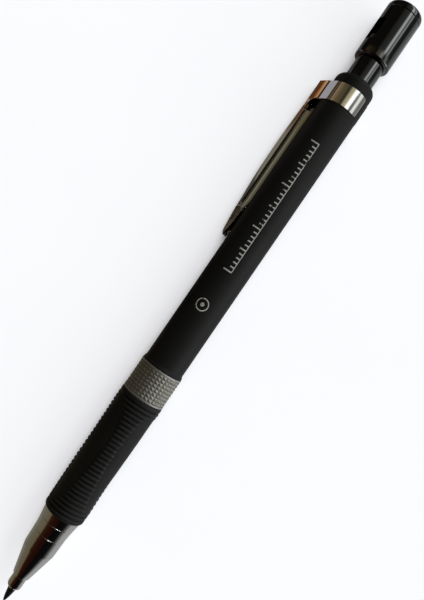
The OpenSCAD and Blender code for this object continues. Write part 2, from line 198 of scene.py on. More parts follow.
def rounded(points, radii, n=5):
    """A polyline with its inner corners replaced by arcs, and a point beside each to keep the flats flat."""
    at_most, beside = 0.4, 1.12
    out = [points[0]]
    for i in range(1, len(points) - 1):
        p, a, b = Vector(points[i]), Vector(points[i - 1]), Vector(points[i + 1])
        da, db = (a - p).normalized(), (b - p).normalized()
        half = math.acos(max(-1, min(1, da.dot(db)))) / 2
        reach = min(radii[i - 1] / math.tan(half), (a - p).length * at_most, (b - p).length * at_most)
        p0, p1 = p + da * reach, p + db * reach
        out.append(tuple(p + da * reach * beside))
        for k in range(n + 1):
            t = k / n
            out.append(tuple((p0 * (1 - t) + p * t) * (1 - t) + (p * (1 - t) + p1 * t) * t))
        out.append(tuple(p + db * reach * beside))
    out.append(points[-1])
    return out


def offset(points, d):
    """The polyline moved sideways by d, to the left of its direction."""
    out = []
    for i, p in enumerate(points):
        a = Vector(points[max(i - 1, 0)])
        b = Vector(points[min(i + 1, len(points) - 1)])
        t = (b - a).normalized()
        out.append((p[0] - t.y * d, p[1] + t.x * d))
    return out


def sheet(sections, thickness):
    """A bent sheet. Sections are (length, [(u, v), ...]) of its outer side, all with as many points."""
    count = len(sections[0][1])
    verts = []
    for length, outer in sections:
        inner = offset(outer, thickness)
        verts += [clip_point(length, u, v) for u, v in outer]
        verts += [clip_point(length, u, v) for u, v in reversed(inner)]
    loop = 2 * count
    faces = ring_faces(len(sections), loop, False)
    for base in (0, (len(sections) - 1) * loop):
        for k in range(count - 1):
            faces.append((base + k, base + k + 1, base + loop - 2 - k, base + loop - 1 - k))
    return verts, faces


# ---------------------------------------------------------------- materials

def fill_ramp(ramp, stops):
    """Puts stops of (position, colour) into a new colour ramp, which starts with two."""
    e = ramp.color_ramp.elements
    e[0].position, e[0].color = stops[0][0], (*stops[0][1], 1)
    e[1].position, e[1].color = stops[-1][0], (*stops[-1][1], 1)
    for pos, col in stops[1:-1]:
        e.new(pos).color = (*col, 1)


class Paint:
    """One node material: a Principled shader and the texture nodes that feed it."""

    def __init__(self, name, **sockets):
        self.mat = bpy.data.materials.new(name)
        self.mat.use_nodes = True
        self.tree = self.mat.node_tree
        self.shader = self.tree.nodes["Principled BSDF"]
        for key, value in sockets.items():
            self.shader.inputs[key.replace("_", " ")].default_value = value
        self.coords = self.node("ShaderNodeTexCoord").outputs["Object"]

    def node(self, kind, **props):
        n = self.tree.nodes.new(kind)
        for key, value in props.items():
            setattr(n, key, value)
        return n

    def link(self, a, b):
        self.tree.links.new(a, b)

    def axes(self):
        """The object's coordinates, one by one."""
        n = self.node("ShaderNodeSeparateXYZ")
        self.link(self.coords, n.inputs[0])
        return n.outputs

    def stretched(self, sx, sy, sz):
        """Coordinates in which a pattern is longer where the number is smaller."""
        m = self.node("ShaderNodeMapping")
        m.inputs["Scale"].default_value = (sx, sy, sz)
        self.link(self.coords, m.inputs["Vector"])
        return m.outputs["Vector"]

    def noise(self, size, detail=3, roughness=0.5, coords=None):
        """Noise whose grains are about size millimetres."""
        n = self.node("ShaderNodeTexNoise")
        n.inputs["Scale"].default_value = 1 / (size * MM)
        n.inputs["Detail"].default_value = detail
        n.inputs["Roughness"].default_value = roughness
        self.link(coords or self.coords, n.inputs["Vector"])
        return n.outputs["Fac"]

    def ramp(self, fac, stops):
        """Colours for fac by a colour ramp."""
        r = self.node("ShaderNodeValToRGB")
        fill_ramp(r, stops)
        self.link(fac, r.inputs["Fac"])
        return r.outputs["Color"]

    def levels(self, fac, a, b, low, high):
        """From low at a to high at b in a straight line, and level outside."""
        m = self.node("ShaderNodeMapRange")
        for key, value in (("From Min", a), ("From Max", b), ("To Min", low), ("To Max", high)):
            m.inputs[key].default_value = value
        self.link(fac, m.inputs["Value"])
        return m.outputs["Result"]

    def mix(self, fac, a, b):
        """Colour a where fac is 0 and b where it is 1; each is a colour or a socket."""
        m = self.node("ShaderNodeMix", data_type="RGBA")
        self.link(fac, m.inputs["Factor"])
        for key, value in (("A", a), ("B", b)):
            if isinstance(value, tuple):
                m.inputs[key].default_value = (*value, 1)
            else:
                self.link(value, m.inputs[key])
        return m.outputs["Result"]

    def openness(self, reach, a, b, samples):
        """0 where things within reach mm cover the surface, and 1 where it is open."""
        n = self.node("ShaderNodeAmbientOcclusion", samples=samples)
        n.inputs["Distance"].default_value = reach * MM
        return self.levels(n.outputs["AO"], a, b, 0.0, 1.0)

    def math(self, operation, a, b=None):
        m = self.node("ShaderNodeMath", operation=operation)
        for i, value in enumerate((a, b)):
            if value is None:
                continue
            if isinstance(value, (int, float)):
                m.inputs[i].default_value = value
            else:
                self.link(value, m.inputs[i])
        return m.outputs[0]

    def bump(self, height, depth, strength=1.0, under=None):
        """Bump whose full height is depth millimetres."""
        b = self.node("ShaderNodeBump")
        b.inputs["Strength"].default_value = strength
        b.inputs["Distance"].default_value = depth * MM
        self.link(height, b.inputs["Height"])
        if under is not None:
            self.link(under, b.inputs["Normal"])
        return b.outputs["Normal"]

    def set(self, **sockets):
        """Feeds the shader's sockets and hands back the material."""
        for key, value in sockets.items():
            self.link(value, self.shader.inputs[key.replace("_", " ")])
        return self.mat


def soft_touch_plastic():
    """Black barrel with a fine soft-touch paint, slightly worn and dusty."""
    p = Paint("barrel_plastic", Specular_IOR_Level=0.14)
    wear = p.noise(9, 4, 0.55, p.stretched(0.35, 1, 1))
    grain = p.noise(0.12, 3, 0.6)
    base = p.ramp(wear, [(0.3, (0.0108, 0.0109, 0.0106)), (0.7, (0.0136, 0.0137, 0.0134))])
    rough = p.levels(wear, 0.3, 0.7, 0.5, 0.6)
    return p.set(Base_Color=base, Roughness=rough, Normal=p.bump(grain, 0.006, 0.55))


def grip_rubber():
    """Black rubber: dull, with a fine moulded grain, and by its curvature painted shade in the grooves and
    painted light on the rib crests.
    """
    p = Paint("grip_rubber", Specular_IOR_Level=0.16)
    wear = p.noise(5, 4, 0.6)
    grain = p.noise(0.09, 2, 0.6)
    # painted shade and painted light: concave grooves get darker and convex crests lighter, by pointiness
    edges = p.node("ShaderNodeNewGeometry").outputs["Pointiness"]
    shade_and_tone = p.math("ADD", p.levels(edges, 0.42, 0.56, 0.0, 0.8), p.math("MULTIPLY", wear, 0.2))
    base = p.ramp(shade_and_tone, [(0.15, (0.001, 0.001, 0.001)), (0.5, (0.008, 0.0081, 0.0079)),
                          (0.9, (0.026, 0.0262, 0.0257))])
    rough = p.levels(wear, 0.3, 0.7, 0.5, 0.62)
    return p.set(Base_Color=base, Roughness=rough, Normal=p.bump(grain, 0.008, 0.6))


def gloss_plastic():
    """Polished black plastic of cap and stem, slightly wavy from the mould."""
    p = Paint("gloss_plastic", Specular_IOR_Level=0.5, IOR=1.5, Coat_Weight=0.5, Coat_Roughness=0.05,
              Coat_IOR=1.5)
    waves = p.noise(3.2, 2, 0.45, p.stretched(0.55, 1.2, 1.2))
    dust = p.noise(0.5, 3, 0.6)
    base = p.ramp(dust, [(0.35, (0.0012, 0.0012, 0.001)), (0.75, (0.002, 0.0021, 0.0018))])
    rough = p.levels(dust, 0.35, 0.7, 0.05, 0.1)
    return p.set(Base_Color=base, Roughness=rough, Normal=p.bump(waves, 0.05, 0.5))


def bright_metal(name, colour, dark, rough, wave=0.02, lines=0.0, painted_crevice_shade=False):
    """Polished metal with faint waves, fine scratches and, if asked for, turning lines and painted shade in
    its crevices.
    """
    p = Paint(name, Metallic=1.0)
    waves = p.noise(2.4, 2, 0.4)
    smear = p.noise(1.6, 4, 0.6, p.stretched(0.5, 1, 1))
    scratch = p.noise(0.06, 3, 0.7, p.stretched(0.04, 1, 1))
    base = p.ramp(smear, [(0.3, dark), (0.7, colour)])
    # painted shade: where ambient occlusion finds things within 2 mm, the base colour goes near black
    if painted_crevice_shade:
        base = p.mix(p.openness(2, 0.34, 0.6, 8), (0.02, 0.018, 0.015), base)
    roughness = p.levels(smear, 0.3, 0.75, rough, rough * 1.9)
    normal = p.bump(waves, wave, 0.5)
    normal = p.bump(scratch, 0.0012, 0.5, normal)
    if lines:
        rings = p.noise(0.07, 1, 0.5, p.stretched(1, 0.001, 0.001))
        normal = p.bump(rings, lines, 0.6, normal)
    return p.set(Base_Color=base, Roughness=roughness, Normal=normal)


def satin_aluminium():
    """Ring metal: satin, with painted shade that darkens it near the grooves' floor."""
    p = Paint("ring_aluminium", Metallic=1.0)
    place = p.axes()
    radius = p.math("SQRT", p.math("ADD", p.math("POWER", place["Y"], 2), p.math("POWER", place["Z"], 2)))
    # painted shade: the colour darkens with depth towards the floor of the grooves between the pyramids
    depth = p.levels(radius, 4.46 * MM, 4.58 * MM, 0.0, 1.0)
    smear = p.noise(1.1, 4, 0.6)
    shade_and_tone = p.math("ADD", p.math("MULTIPLY", depth, 0.75), p.math("MULTIPLY", smear, 0.3))
    base = p.ramp(shade_and_tone, [(0.1, (0.18, 0.17, 0.15)), (0.5, (0.3, 0.29, 0.262)), (0.95, (0.4, 0.39, 0.365))])
    rough = p.levels(smear, 0.3, 0.7, 0.54, 0.64)
    return p.set(Base_Color=base, Roughness=rough, Normal=p.bump(p.noise(0.05, 2, 0.6), 0.003, 0.5))


def graphite():
    """Sharpened lead: dark grey with a metallic sheen and turning scratches."""
    p = Paint("graphite", Metallic=0.35, Specular_IOR_Level=0.5)
    rings = p.noise(0.09, 3, 0.6, p.stretched(1, 0.15, 0.15))
    grain = p.noise(0.04, 2, 0.6)
    base = p.ramp(rings, [(0.3, (0.006, 0.0055, 0.0055)), (0.72, (0.017, 0.0155, 0.015))])
    rough = p.levels(rings, 0.3, 0.7, 0.28, 0.44)
    normal = p.bump(grain, 0.004, 0.5, p.bump(rings, 0.012, 0.6))
    return p.set(Base_Color=base, Roughness=rough, Normal=normal)


def turned_metal(name, colour, dark, rough):
    """Inner turned pieces: fine rings round the axis and some tarnish."""
    p = Paint(name, Metallic=1.0)
    tarnish = p.noise(1.8, 4, 0.6)
    rings = p.noise(0.08, 2, 0.5, p.stretched(1, 0.001, 0.001))
    base = p.ramp(tarnish, [(0.3, dark), (0.7, colour)])
    roughness = p.levels(tarnish, 0.3, 0.7, rough, rough * 1.6)
    return p.set(Base_Color=base, Roughness=roughness, Normal=p.bump(rings, 0.004, 0.6))


def moulded_plastic():
    """The sharpener's drum: plain black plastic with a fine grain."""
    p = Paint("sharpener_plastic", Specular_IOR_Level=0.4)
    grain = p.noise(0.1, 3, 0.6)
    base = p.ramp(p.noise(2, 3), [(0.3, (0.006, 0.006, 0.0062)), (0.7, (0.011, 0.011, 0.011))])
    return p.set(Base_Color=base, Roughness=p.levels(grain, 0.3, 0.7, 0.35, 0.5),
                 Normal=p.bump(grain, 0.006, 0.5))


def white_ink():
    """Screen-printed marks: thin ink with worn, slightly open edges."""
    p = Paint("white_ink", Specular_IOR_Level=0.3)
    wear = p.noise(0.35, 3, 0.65)
    base = p.ramp(wear, [(0.3, (0.45, 0.45, 0.44)), (0.62, (0.72, 0.72, 0.7))])
    return p.set(Base_Color=base, Roughness=p.levels(wear, 0.3, 0.7, 0.45, 0.6),
                 Normal=p.bump(p.noise(0.1, 2), 0.003, 0.4))


def floor_white():
    """Pale board. The camera sees it glowing plain white, with a soft shadow under the pencil that is partly
    real and partly painted shadow in the glow. Other rays see it glow by place, as painted shade and painted
    reflections: dim and warm on the pencil's left, with an orange and a lilac patch beside the clip's box,
    and light grey on its right."""
    p = Paint("floor_white", Specular_IOR_Level=0.05, Roughness=0.9, Emission_Strength=1.0)
    base = p.ramp(p.noise(60, 3), [(0.3, (0.58, 0.59, 0.61)), (0.7, (0.61, 0.62, 0.64))])
    # painted shadow: the glow that the camera sees dims to near black where ambient occlusion finds the
    # pencil close by
    white = p.ramp(p.openness(12, 0.36, 0.54, 12), [(0, (0.02, 0.02, 0.02)), (1, (0.715, 0.72, 0.745))])
    p.set(Base_Color=base, Emission_Color=white, Normal=p.bump(p.noise(0.4, 3), 0.002, 0.3))

    place = p.axes()
    end = 100
    lengthwise = p.levels(place["X"], -end * MM, end * MM, 0.0, 1.0)

    def strip(stops):
        """Colours along the pencil, at places in mm from its middle."""
        return p.ramp(lengthwise, [((x + end) / (2 * end), colour) for x, colour in stops])

    def across(y0, y1):
        """0 up to y0 mm beside the axis and 1 from y1 on."""
        return p.levels(place["Y"], y0 * MM, y1 * MM, 0.0, 1.0)

    # glow colours for other rays: painted shade, dim and warm, beside the pencil, and orange and lilac
    # patches that paint reflections on the clip's box
    grey, lilac, burnt_orange = (0.16, 0.16, 0.16), (0.5, 0.48, 0.53), (0.2, 0.13, 0.07)
    bark, khaki, straw = (0.12, 0.11, 0.08), (0.2, 0.185, 0.13), (0.28, 0.265, 0.22)
    arm_part = [(-40, (0.28, 0.26, 0.2)), (-14, (0.3, 0.285, 0.23)), (-4, (0.07, 0.065, 0.06))]
    front_part = [(12, (0.14, 0.13, 0.1)), (24, bark), (42, khaki), (70, straw)]
    beside = strip([(-60, (0.2, 0.2, 0.2)), (-54, (0.12, 0.06, 0.03)), (-44, (0.12, 0.07, 0.04)),
                    (-38, (0.1, 0.095, 0.085)), (5, (0.1, 0.095, 0.08)), (14, (0.32, 0.3, 0.24)),
                    (24, (0.3, 0.28, 0.22)), (32, bark), (42, khaki), (70, straw)])
    near = strip([(-57, grey), (-55, (0.14, 0.04, 0.01)), (-47, (0.16, 0.05, 0.015)), (-43, burnt_orange)]
                 + arm_part + front_part)
    deep = strip([(-57, grey), (-55, (0.75, 0.45, 0.22)), (-50, (0.6, 0.28, 0.1)), (-46, burnt_orange)]
                 + arm_part + front_part)
    far = strip([(-66, (0.02, 0.02, 0.02)), (-62, lilac), (-47, lilac), (-40, (0.1, 0.09, 0.08)),
                 (0, (0.05, 0.045, 0.04)), (30, (0.1, 0.09, 0.07)), (45, (0.2, 0.185, 0.14))])
    left = p.mix(across(-13.7, -14.6), deep, far)
    left = p.mix(across(-11.3, -12.2), near, left)
    left = p.mix(across(-10.55, -10.75), beside, left)

    glow = p.node("ShaderNodeEmission")
    p.link(p.mix(across(-2, 4), left, (0.52, 0.53, 0.53)), glow.inputs["Color"])
    path = p.node("ShaderNodeLightPath")
    both = p.node("ShaderNodeMixShader")
    p.link(path.outputs["Is Camera Ray"], both.inputs[0])
    p.link(glow.outputs[0], both.inputs[1])
    p.link(p.shader.outputs[0], both.inputs[2])
    p.link(both.outputs[0], p.tree.nodes["Material Output"].inputs["Surface"])
    return p.mat


MATS = {
    "barrel_plastic": soft_touch_plastic(),
    "grip_rubber": grip_rubber(),
    "gloss_plastic": gloss_plastic(),
    "clip_chrome": bright_metal("clip_chrome", (0.57, 0.565, 0.55), (0.53, 0.52, 0.5), 0.045, painted_crevice_shade=True),
    "nose_chrome": bright_metal("nose_chrome", (0.57, 0.565, 0.555), (0.54, 0.53, 0.515), 0.05,
                                0.012, 0.0009),
    "clutch_plating": bright_metal("clutch_plating", (0.6, 0.585, 0.55), (0.55, 0.53, 0.49), 0.07,
                                   0.012, 0.0012),
    "ring_aluminium": satin_aluminium(),
    "graphite": graphite(),
    "brass": turned_metal("brass", (0.68, 0.5, 0.22), (0.5, 0.34, 0.13), 0.22),
    "spring_steel": turned_metal("spring_steel", (0.5, 0.5, 0.51), (0.36, 0.36, 0.37), 0.24),
    "sharpener_plastic": moulded_plastic(),
    "blade_steel": bright_metal("blade_steel", (0.55, 0.55, 0.56), (0.45, 0.45, 0.46), 0.16),
    "white_ink": white_ink(),
    "floor_white": floor_white(),
}


# ---------------------------------------------------------------- sub-parts
# Outlines are lists of (length, radius). Their lengths start from the ends of the CAD node that the
# piece stands for (z0 and z1, and so on), so that each piece sits where its node does.

def make_lead():
    """Lead with a long sharpened point, slightly hollow and blunt, and a chamfer at its far end."""
    start, end = span("lead")
    radius, point_len, blunt, chamfer = 1.0, 4.2, 0.05, 0.15
    steps, crowding, hollow = 18, 1.6, 0.56
    profile = [(start, 0.0), (start + 0.018, blunt)]
    for i in range(1, steps + 1):
        share = (i / steps) ** crowding
        profile.append((start + point_len * share, radius * share ** hollow))
    profile += [(end - chamfer, radius), (end, radius - chamfer), (end, 0.0)]
    verts, faces = lathe(profile, 48, closed=False)
    piece("lead_stick", verts, faces, "lead", "graphite", ["lead"], angle=40)


def make_jaw(index):
    """One finger of the clutch: a third of a turned sleeve, with flat sides along the slits."""
    z0, z1 = span("jaw_1")
    nose0 = span("nose_cone")[0]
    outer = [(z0, 1.03), (z0 + 0.02, 1.09)] + arc(z0 + 0.78, 0.76, 0.75, -62, 0, 8)
    outer += [(nose0, 1.5), (nose0 + 3, 1.275), (nose0 + 4, 1.275), (nose0 + 5.6, 1.62), (z1 - 2, 1.62),
              (z1 - 1.4, 1.5), (z1, 1.5)]
    profile = outer + [(z1, 1.1), (z0 + 6.6, 1.1), (z0 + 6.3, 1.03)]
    half_slit, columns = 0.15, 20
    turn = GRIP_TURN + 120 * index
    verts = []
    for length, radius in profile:
        half = 120 / 2 - math.degrees(math.asin(half_slit / radius))
        verts += [at(length, radius, turn - half + 2 * half * k / (columns - 1)) for k in range(columns)]
    rows = len(profile)
    faces = ring_faces(rows, columns, True, closed_cols=False)
    faces += [tuple(i * columns for i in range(rows)), tuple(i * columns + columns - 1 for i in range(rows))]
    name = f"jaw_{index + 1}"
    piece(name + "_finger", verts, faces, name, "clutch_plating", [name], angle=28)


def make_nose():
    """Turned metal nose: a cone with soft steps and two cut lines, hollow for the clutch."""
    z0, z1 = span("nose_cone")

    def line(length, radius, slope):
        """A cut line in a surface that rises by slope."""
        half_width, half_floor, depth = 0.07, 0.02, 0.055
        return [(length - half_width, radius - slope * half_width), (length - half_floor, radius - depth),
                (length + half_floor, radius - depth), (length + half_width, radius + slope * half_width)]

    outside = [(z0 + 0.02, 1.6)] + arc(z0 + 0.09, 1.75, 0.08, -90, -14, 4)
    outside += [(z0 + 3, 2.53), (z0 + 6.3, 3.305), (z0 + 6.45, 3.335), (z0 + 6.6, 3.35), (z0 + 9.2, 3.43)]
    outside += line(z0 + 10.35, 3.47, 0.05) + [(z0 + 11.2, 3.53), (z0 + 12.1, 3.63)]
    outside += line(z0 + 13.2, 3.8, 0.17) + [(z0 + 14.2, 3.95), (z1, 4.04)]
    inside = [(z1, 2.95), (z0 + 8.3, 2.95), (z0 + 8.3, 2.2), (z0 + 3, 2.2), (z0 + 1.9, 1.82),
              (z0 + 0.8, 1.52), (z0 + 0.02, 1.52)]
    verts, faces = lathe(outside + inside, 160)
    piece("nose", verts, faces, "barrel", "nose_chrome", ["nose_cone"], angle=24)


def make_grip():
    """Rubber sleeve: ring grooves, and three smooth scoops that leave strips of ribs between them."""
    z0, z1 = span("grip_sleeve")
    grooves, groove_depth, per_groove, segments = 28, 0.32, 8, 192
    wall, scoop_wall, mean_r = (0.16, 0.58), (-0.25, 0.55), 4.7
    first, last = z1 - 1.05, z0 + 1.15
    pitch = (first - last) / (grooves - 1)
    waist = [(z0 + 0.5, 4.41), (z0 + 2.4, 4.47), (z0 + 5.4, 4.5), (z0 + 8, 4.56), (z0 + 12, 4.65),
             (z0 + 16, 4.725), (z0 + 20, 4.752), (z0 + 24, 4.735), (z1 - 1, 4.69), (z1, 4.62)]
    reach = [(z0 + 1.5, 0), (z0 + 2, 0.8), (z0 + 2.9, 1.6), (z0 + 4.4, 2.2), (z0 + 6.6, 2.6), (z0 + 9.6, 3.0),
             (z0 + 13, 3.3), (z0 + 16.8, 3.5), (z0 + 20.8, 3.37), (z0 + 23, 3.15), (z0 + 24.2, 2.93),
             (z0 + 25.1, 2.46), (z0 + 26, 1.75), (z0 + 26.8, 0.9), (z0 + 27.3, 0)]
    depths = [(z0 + 1.6, 0.02), (z0 + 4, 0.22), (z0 + 8, 0.3), (z0 + 15, 0.31), (z0 + 22, 0.27),
              (z0 + 25, 0.24), (z0 + 27, 0.02)]

    def radius(length, angle):
        """The sleeve's outer surface: the waist, less a groove, less a scoop."""
        body = soft_lookup(length, waist, 0.4)
        t = (length - last) / pitch
        near = abs(t - round(t)) * 2
        groove = 0.0
        if -0.5 <= t <= grooves - 0.5:
            groove = groove_depth * (1 - smooth(near, *wall))
        from_scoop = abs((angle - GRIP_TURN + 60) % 120 - 60)
        edge = math.degrees(math.asin(min(1, soft_lookup(length, reach, 0.3) / mean_r)))
        inside = math.radians(edge - from_scoop) * body
        mask = smooth(inside, *scoop_wall)
        return body - groove * (1 - mask) - soft_lookup(length, depths, 0.4) * mask

    front = [(z0 + 0.4, 2.92), (z0 + 0.02, 2.92)] + arc(z0 + 0.3, 4.4 - 0.28, 0.28, -90, -10, 4)
    back = [(z1 - 0.05, 4.56), (z1, 4.5), (z1, 2.77), (z0 + 0.7, 2.77)]
    start = last - pitch * 0.5
    lengths = [z0 + 0.3 + 0.06 * i for i in range(5)]
    lengths += [start + pitch * i / per_groove for i in range(grooves * per_groove + 1)]
    lengths += [z1 - 0.4, z1 - 0.3, z1 - 0.2, z1 - 0.12]
    lengths = sorted(set(round(v, 4) for v in lengths if front[-1][0] + 0.02 < v < z1 - 0.1))
    rings = front + [(length, None) for length in lengths] + back
    angles = [360 * k / segments for k in range(segments)]
    verts = [at(length, radius(length, a) if r is None else r, a) for length, r in rings for a in angles]
    piece("grip", verts, ring_faces(len(rings), segments, True), "barrel", "grip_rubber", ["grip_sleeve"],
          angle=60)


def make_ring():
    """Knurled ring: rows of small blunt pyramids between two plain rims."""
    z0, z1 = span("knurled_ring")
    top, base, rim = 4.59, 4.47, 0.4
    near, far = z0 + rim, z1 - rim
    columns, rows, flat = 31, 8, 0.14
    step_l, step_a = (z1 - z0 - 2 * rim) / rows, 360 / columns
    turn = 8.9 + VIEW_TURN
    verts, faces = [], []
    for i in range(rows + 1):
        for k in range(columns):
            verts.append(at(near + i * step_l, base, turn + (k + 0.5) * step_a))
    for i in range(rows):
        for k in range(columns):
            n = len(verts)
            for sl, sa in ((-1, -1), (-1, 1), (1, 1), (1, -1)):
                verts.append(at(near + (i + 0.5 + sl * flat / 2) * step_l, top,
                                turn + (k + sa * flat / 2) * step_a))
            prev = (k - 1) % columns
            corners = (i * columns + prev, i * columns + k, (i + 1) * columns + k, (i + 1) * columns + prev)
            faces.append((n, n + 1, n + 2, n + 3))
            for q in range(4):
                faces.append((corners[q], corners[(q + 1) % 4], n + (q + 1) % 4, n + q))
    knurl = piece("ring_knurl", verts, faces, "barrel", "ring_aluminium", angle=10)
    for p in knurl.data.polygons:
        p.use_smooth = False

    edge, chamfer, floor = 0.09, 0.04, base - 0.02
    outline = arc(z0 + edge, top - edge, edge, -90, 0, 4) + [(near - chamfer, top), (near, top - chamfer)]
    outline += [(near, floor), (far, floor), (far, top - chamfer), (far + chamfer, top)]
    outline += arc(z1 - edge, top - edge, edge, 0, 90, 4) + [(z1, BARREL_BORE), (z0, BARREL_BORE)]
    verts, faces = lathe(outline, 160)
    piece("ring_rims", verts, faces, "barrel", "ring_aluminium", ["knurled_ring"])


def make_barrel():
    """Barrel tube with its flared front, round shoulder, and the seat and key for the clip's band."""
    z0, z1 = span("barrel")
    b0, b1 = span("clip_band")
    r, bore, seat, play = BARREL_R, BARREL_BORE, 3.98, 0.08
    shoulder, mouth, mouth_len = 1.4, 3.05, 4.8
    outline = [(z0, bore)] + arc(z0 + 0.06, 4.44, 0.06, -90, 0, 3)
    outline += [(z0 + 0.16, 4.5), (z0 + 0.3, 4.48), (z0 + 0.5, 4.39), (z0 + 0.7, 4.31), (z0 + 0.9, 4.275)]
    outline += [(z0 + 1.1, r), (z0 + 12, r)]
    outline += [(b0 - play, r), (b0 - play, seat), (b1 + play, seat), (b1 + play, r)]
    outline += arc(z1 - shoulder, r - shoulder, shoulder, 0, 78, 10)
    outline += [(z1, mouth + 0.05), (z1 - 0.05, mouth), (z1 - mouth_len, mouth), (z1 - mouth_len, bore)]
    key, edge = 15.5, 0.02
    centre = (CLIP_TURN + 180) % 360
    angles = [k * 2.5 for k in range(144)]
    angles += [centre - key, centre - key - edge, centre + key, centre + key + edge]
    angles = sorted(set(round(a, 3) for a in angles))
    verts = []
    for length, radius in outline:
        for a in angles:
            on_key = radius == seat and abs((a - centre + 180) % 360 - 180) <= key
            verts.append(at(length, r if on_key else radius, a))
    piece("barrel_tube", verts, ring_faces(len(outline), len(angles), True), "barrel", "barrel_plastic",
          ["barrel"], angle=30)


def patch(outlines, radius):
    """Thin marks on the barrel: each outline is ((length, angle), ...) and becomes one raised face."""
    thickness = 0.02
    verts, faces = [], []
    for corners in outlines:
        n = len(verts)
        m = len(corners)
        verts += [at(l, radius, a) for l, a in corners] + [at(l, radius - thickness, a) for l, a in corners]
        faces.append(tuple(range(n, n + m)))
        faces += [(n + k, n + (k + 1) % m, n + m + (k + 1) % m, n + m + k) for k in range(m)]
    return verts, faces


def make_marks():
    """A plain printed millimetre scale and a plain ring mark, in place of the printing."""
    radius = BARREL_R + 0.012
    first, ticks, half_line = 79.8, 31, 0.14
    baseline, line_width, steps = 2.0, 2.2, 4
    marks = []

    def box(l0, l1, a0, a1):
        """One straight mark."""
        marks.append(((l0, a0), (l1, a0), (l1, a1), (l0, a1)))

    for i in range(ticks):
        length = first + i
        reach = 23 if i % 10 == 0 else (17 if i % 5 == 0 else 11)
        for k in range(steps):
            box(length - half_line, length + half_line, baseline - reach * k / steps,
                baseline - reach * (k + 1) / steps)
    for k in range(ticks - 1):
        start = first - 0.1 + k
        box(start, start + (1.2 if k == ticks - 2 else 1), baseline, baseline + line_width)

    centre_l, centre_a = 71.6, -12.5
    degrees = math.degrees(1 / radius)

    def disc(r0, r1, n):
        """A ring of n marks between two radii."""
        for k in range(n):
            a, b = 2 * math.pi * k / n, 2 * math.pi * (k + 1) / n
            marks.append(tuple((centre_l + q * math.cos(t), centre_a + q * math.sin(t) * degrees)
                               for q, t in ((r0, a), (r1, a), (r1, b), (r0, b))))

    disc(1.12, 1.34, 36)
    disc(0.02, 0.42, 20)
    verts, faces = patch(marks, radius)
    piece("scale_marks", verts, faces, "barrel", "barrel_plastic", paint="white_ink")


def along(points, fraction):
    """The polyline cut short: each point moves back along the line to that fraction of its distance."""
    reach = [0.0]
    for p, q in zip(points, points[1:]):
        reach.append(reach[-1] + math.dist(p, q))
    out, k = [], 0
    for r in reach:
        target = r * fraction
        while k < len(points) - 2 and reach[k + 1] < target:
            k += 1
        step = reach[k + 1] - reach[k]
        t = (target - reach[k]) / step if step else 0.0
        out.append(tuple(a + (b - a) * t for a, b in zip(points[k], points[k + 1])))
    return out


def length_of(points):
    """Length of a polyline."""
    return sum(math.dist(p, q) for p, q in zip(points, points[1:]))


def box_half(end_angle, radius):
    """Half of the band's outer line: from the web's middle over the fold and round the barrel."""
    steps, groove, settled = 48, 3.6, BOX_ROOT_ANGLE + 6.6

    def on_circle(r, angle):
        """The (u, v) of a point on a circle about the axis."""
        return (r * math.cos(math.radians(angle)), r * math.sin(math.radians(angle)))

    root = [on_circle(radius + 0.1, BOX_ROOT_ANGLE), on_circle(radius - 0.1, BOX_ROOT_ANGLE + groove),
            on_circle(radius, settled)]
    points = [(BOX_CREST[0], 0), BOX_CREST, *BOX_FOLD] + root
    line = rounded(points, (0.22, 0.06, 0.06, 0.06, 0.05), 5)
    line += [on_circle(radius, settled + (end_angle - settled) * k / steps) for k in range(1, steps + 1)]
    return line


def make_band():
    """Sheet band round the barrel, folded out into the box that carries the clip's arm."""
    b0, b1 = span("clip_band")
    radius, corner, end_angle, steps = 4.35, 0.45, 164, 6
    stations = [corner * (1 - math.cos(math.pi / 2 * k / steps)) for k in range(steps + 1)]
    sections = []
    for length in [b0 + s for s in stations] + [b1 - s for s in reversed(stations)]:
        e = min(length - b0, b1 - length)
        cut = corner - math.sqrt(max(0, corner ** 2 - (corner - min(e, corner)) ** 2))
        half = box_half(end_angle - math.degrees(cut / radius), radius)
        sections.append((length, [(u, -v) for u, v in reversed(half[1:])] + half))
    verts, faces = sheet(sections, 0.34)
    band = piece("clip_collar", verts, faces, "barrel", "clip_chrome", ["clip_band"], angle=20)
    bevel(band, 0.05, 3, 65)


